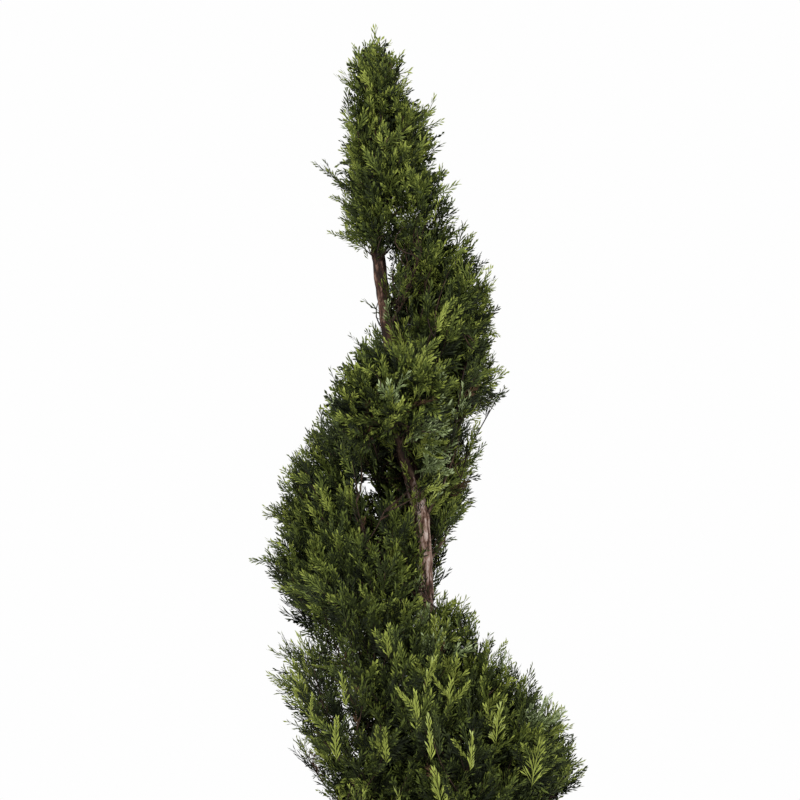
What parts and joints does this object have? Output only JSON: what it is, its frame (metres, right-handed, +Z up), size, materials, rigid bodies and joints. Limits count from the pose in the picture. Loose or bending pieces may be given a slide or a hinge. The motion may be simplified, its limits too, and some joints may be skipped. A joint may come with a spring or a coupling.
{
  "type": "spiral topiary",
  "caption": "Conifer shrub clipped as a spiral topiary: a leaning, tapering trunk with boughs, wound by one leafy band from base to tip, rooted in the ground.",
  "frame": {"origin": "centre of the flat cut under the trunk, at ground level", "axes": "+Z up along the height of the plant, +X to the viewer's right, +Y to the back"},
  "size_m": [0.4402, 0.4754, 1.7],
  "materials": {
    "bark": "rough fibrous bark, reddish brown with pinkish grey ridges",
    "foliage": "matt scale-leaved sprays, deep green with fresh green tips"
  },
  "bodies": {
    "root": {"trunk": "bark", "clump_bough": "bark", "bough_01": "bark", "bough_02": "bark", "bough_03": "bark", "bough_04": "bark", "bough_05": "bark", "bough_06": "bark", "bough_07": "bark", "bough_08": "bark", "bough_09": "bark", "bough_10": "bark", "bough_11": "bark", "bough_12": "bark", "bough_13": "bark", "cone_foliage": "foliage", "foliage_01": "foliage", "foliage_02": "foliage", "foliage_03": "foliage", "foliage_04": "foliage", "foliage_05": "foliage", "foliage_06": "foliage", "foliage_07": "foliage", "foliage_08": "foliage", "foliage_09": "foliage", "foliage_10": "foliage", "foliage_11": "foliage", "foliage_12": "foliage", "foliage_13": "foliage", "tip_foliage": "foliage", "front_clump": "foliage"}
  },
  "joints": []
}
